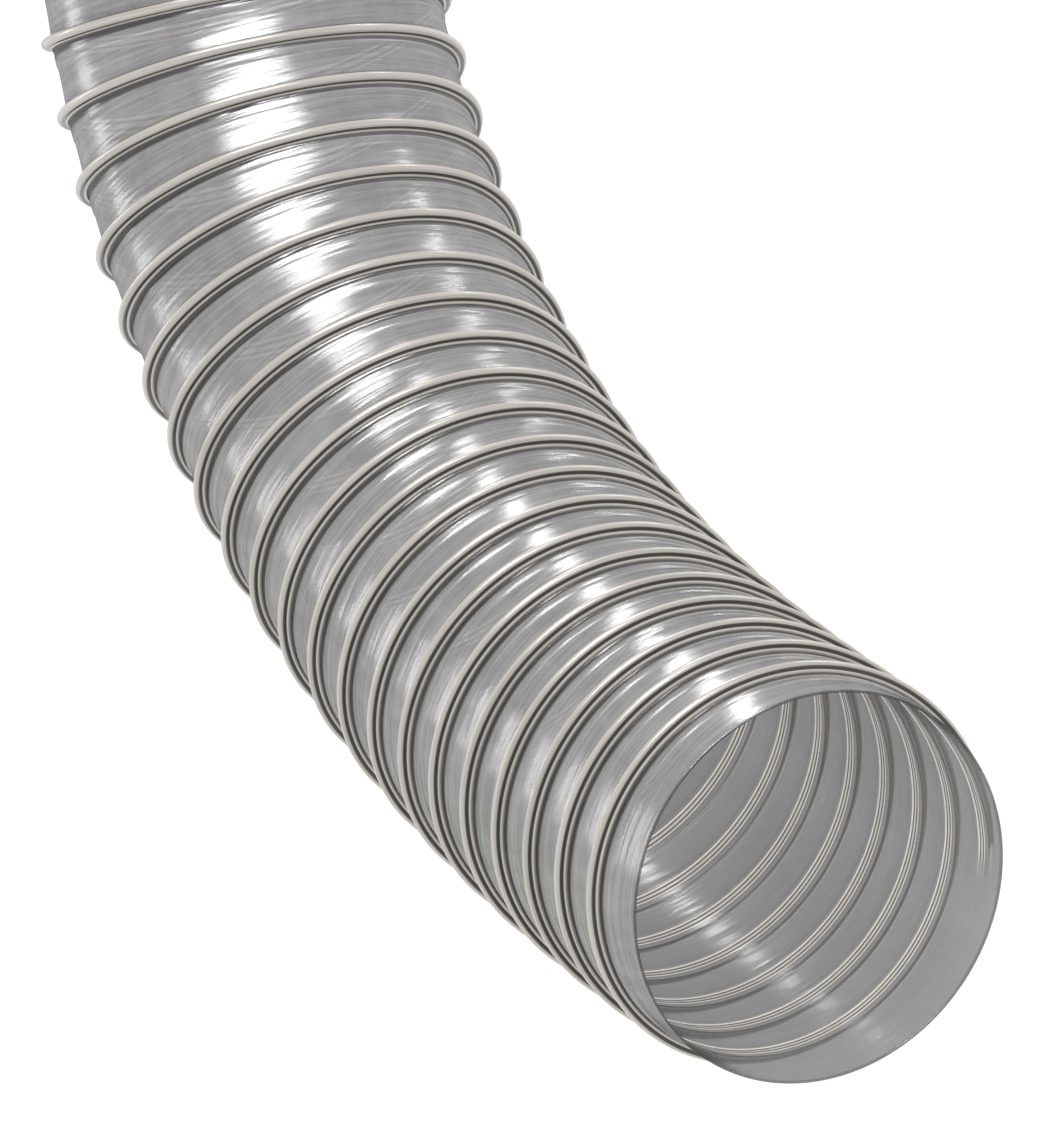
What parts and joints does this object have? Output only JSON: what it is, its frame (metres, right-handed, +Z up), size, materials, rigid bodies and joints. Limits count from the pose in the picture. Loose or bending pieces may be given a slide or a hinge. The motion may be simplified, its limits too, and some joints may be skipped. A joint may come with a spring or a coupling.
{
  "type": "flexible air duct",
  "caption": "Short length of clear flexible air duct: thin film wall stiffened by a helical bead with a spring wire inside, plain cut at both ends, curved through a wide elbow.",
  "frame": {"origin": "centre of the open face of the upper end, which something holds", "axes": "+Z up, the mouth opens along -X, and the bend lies in the XZ plane"},
  "size_m": [0.397, 0.109, 0.2322],
  "materials": {
    "film": "smoke-clear glossy film",
    "bead": "warm white glossy plastic",
    "wire": "bright drawn spring steel"
  },
  "bodies": {
    "turn_01": {"film_turn_01": "film", "bead_turn_01": "bead", "wire_turn_01": "wire"},
    "turn_02": {"film_turn_02": "film", "bead_turn_02": "bead", "wire_turn_02": "wire"},
    "turn_03": {"film_turn_03": "film", "bead_turn_03": "bead", "wire_turn_03": "wire"},
    "turn_04": {"film_turn_04": "film", "bead_turn_04": "bead", "wire_turn_04": "wire"},
    "turn_05": {"film_turn_05": "film", "bead_turn_05": "bead", "wire_turn_05": "wire"},
    "turn_06": {"film_turn_06": "film", "bead_turn_06": "bead", "wire_turn_06": "wire"},
    "turn_07": {"film_turn_07": "film", "bead_turn_07": "bead", "wire_turn_07": "wire"},
    "turn_08": {"film_turn_08": "film", "bead_turn_08": "bead", "wire_turn_08": "wire"},
    "turn_09": {"film_turn_09": "film", "bead_turn_09": "bead", "wire_turn_09": "wire"},
    "turn_10": {"film_turn_10": "film", "bead_turn_10": "bead", "wire_turn_10": "wire"},
    "turn_11": {"film_turn_11": "film", "bead_turn_11": "bead", "wire_turn_11": "wire"},
    "turn_12": {"film_turn_12": "film", "bead_turn_12": "bead", "wire_turn_12": "wire"},
    "turn_13": {"film_turn_13": "film", "bead_turn_13": "bead", "wire_turn_13": "wire"},
    "turn_14": {"film_turn_14": "film", "bead_turn_14": "bead", "wire_turn_14": "wire"},
    "turn_15": {"film_turn_15": "film", "bead_turn_15": "bead", "wire_turn_15": "wire"},
    "turn_16": {"film_turn_16": "film", "bead_turn_16": "bead", "wire_turn_16": "wire"},
    "turn_17": {"film_turn_17": "film", "bead_turn_17": "bead", "wire_turn_17": "wire"},
    "turn_18": {"film_turn_18": "film", "bead_turn_18": "bead", "wire_turn_18": "wire"},
    "turn_19": {"film_turn_19": "film", "bead_turn_19": "bead", "wire_turn_19": "wire"},
    "turn_20": {"film_turn_20": "film", "bead_turn_20": "bead", "wire_turn_20": "wire"}
  },
  "joints": [
    {"name": "bend_19", "type": "hinge", "parent": "turn_20", "child": "turn_19", "pos_m": [-0.01781, 0, -0.0357], "axis": [0, 1, 0], "range_deg": [-9, 3.5], "stiffness_Nm_per_rad": 6, "springref_deg": 2.54, "deforming": ["film_turn_19", "film_turn_20"]},
    {"name": "stretch_18", "type": "slide", "parent": "turn_19", "child": "turn_18", "axis": [-0.6051, 0, -0.7961], "range_m": [-0.006, 0.001], "stiffness_N_per_m": 2000, "springref_m": -0.00067, "deforming": ["film_turn_18"]},
    {"name": "sway_17", "type": "hinge", "parent": "turn_18", "child": "turn_17", "pos_m": [-0.03728, 0, -0.06132], "axis": [0.7411, 0, -0.6714], "range_deg": [-9, 9], "stiffness_Nm_per_rad": 6, "springref_deg": 0, "deforming": ["film_turn_17"]},
    {"name": "bend_16", "type": "hinge", "parent": "turn_17", "child": "turn_16", "pos_m": [-0.05349, 0, -0.07763], "axis": [0, 1, 0], "range_deg": [-9, 4.3], "stiffness_Nm_per_rad": 6, "springref_deg": 1.99, "deforming": ["film_turn_16"]},
    {"name": "stretch_15", "type": "slide", "parent": "turn_16", "child": "turn_15", "axis": [-0.7857, 0, -0.6186], "range_m": [-0.006, 0.001], "stiffness_N_per_m": 2000, "springref_m": -0.00044, "deforming": ["film_turn_15"]},
    {"name": "sway_14", "type": "hinge", "parent": "turn_15", "child": "turn_14", "pos_m": [-0.07878, 0, -0.09754], "axis": [0.5595, 0, -0.8288], "range_deg": [-9, 9], "stiffness_Nm_per_rad": 6, "springref_deg": 0, "deforming": ["film_turn_14"]},
    {"name": "bend_13", "type": "hinge", "parent": "turn_14", "child": "turn_13", "pos_m": [-0.09833, 0, -0.10965], "axis": [0, 1, 0], "range_deg": [-9, 5.1], "stiffness_Nm_per_rad": 6, "springref_deg": 1.41, "deforming": ["film_turn_13"]},
    {"name": "stretch_12", "type": "slide", "parent": "turn_13", "child": "turn_12", "axis": [-0.899, 0, -0.438], "range_m": [-0.006, 0.001], "stiffness_N_per_m": 2000, "springref_m": -0.00025, "deforming": ["film_turn_12"]},
    {"name": "sway_11", "type": "hinge", "parent": "turn_12", "child": "turn_11", "pos_m": [-0.12727, 0, -0.12375], "axis": [0.3831, 0, -0.9237], "range_deg": [-9, 9], "stiffness_Nm_per_rad": 6, "springref_deg": 0, "deforming": ["film_turn_11"]},
    {"name": "bend_10", "type": "hinge", "parent": "turn_11", "child": "turn_10", "pos_m": [-0.14878, 0, -0.13188], "axis": [0, 1, 0], "range_deg": [-9, 5.9], "stiffness_Nm_per_rad": 6, "springref_deg": 0.89, "deforming": ["film_turn_10"]},
    {"name": "stretch_09", "type": "slide", "parent": "turn_10", "child": "turn_09", "axis": [-0.961, 0, -0.2764], "range_m": [-0.006, 0.001], "stiffness_N_per_m": 2000, "springref_m": -0.00012, "deforming": ["film_turn_09"]},
    {"name": "sway_08", "type": "hinge", "parent": "turn_09", "child": "turn_08", "pos_m": [-0.17972, 0, -0.14078], "axis": [0.2308, 0, -0.973], "range_deg": [-9, 9], "stiffness_Nm_per_rad": 6, "springref_deg": 0, "deforming": ["film_turn_08"]},
    {"name": "bend_07", "type": "hinge", "parent": "turn_08", "child": "turn_07", "pos_m": [-0.20222, 0, -0.14553], "axis": [0, 1, 0], "range_deg": [-9, 6.6], "stiffness_Nm_per_rad": 6, "springref_deg": 0.47, "deforming": ["film_turn_07"]},
    {"name": "stretch_06", "type": "slide", "parent": "turn_07", "child": "turn_06", "axis": [-0.9892, 0, -0.1466], "range_m": [-0.006, 0.001], "stiffness_N_per_m": 2000, "springref_m": -0.00005, "deforming": ["film_turn_06"]},
    {"name": "sway_05", "type": "hinge", "parent": "turn_06", "child": "turn_05", "pos_m": [-0.23407, 0, -0.15025], "axis": [0.1128, 0, -0.9936], "range_deg": [-9, 9], "stiffness_Nm_per_rad": 6, "springref_deg": 0, "deforming": ["film_turn_05"]},
    {"name": "bend_04", "type": "hinge", "parent": "turn_05", "child": "turn_04", "pos_m": [-0.25697, 0, -0.15244], "axis": [0, 1, 0], "range_deg": [-9, 7.4], "stiffness_Nm_per_rad": 6, "springref_deg": 0.18, "deforming": ["film_turn_04"]},
    {"name": "stretch_03", "type": "slide", "parent": "turn_04", "child": "turn_03", "axis": [-0.9985, 0, -0.0545], "range_m": [-0.006, 0.001], "stiffness_N_per_m": 2000, "springref_m": -0.00001, "deforming": ["film_turn_03"]},
    {"name": "sway_02", "type": "hinge", "parent": "turn_03", "child": "turn_02", "pos_m": [-0.28912, 0, -0.15419], "axis": [0.0335, 0, -0.9994], "range_deg": [-9, 9], "stiffness_Nm_per_rad": 6, "springref_deg": 0, "deforming": ["film_turn_02"]},
    {"name": "bend_01", "type": "hinge", "parent": "turn_02", "child": "turn_01", "pos_m": [-0.31211, 0, -0.15472], "axis": [0, 1, 0], "range_deg": [-9, 8.2], "stiffness_Nm_per_rad": 6, "springref_deg": 0.03, "deforming": ["film_turn_01"]}
  ]
}
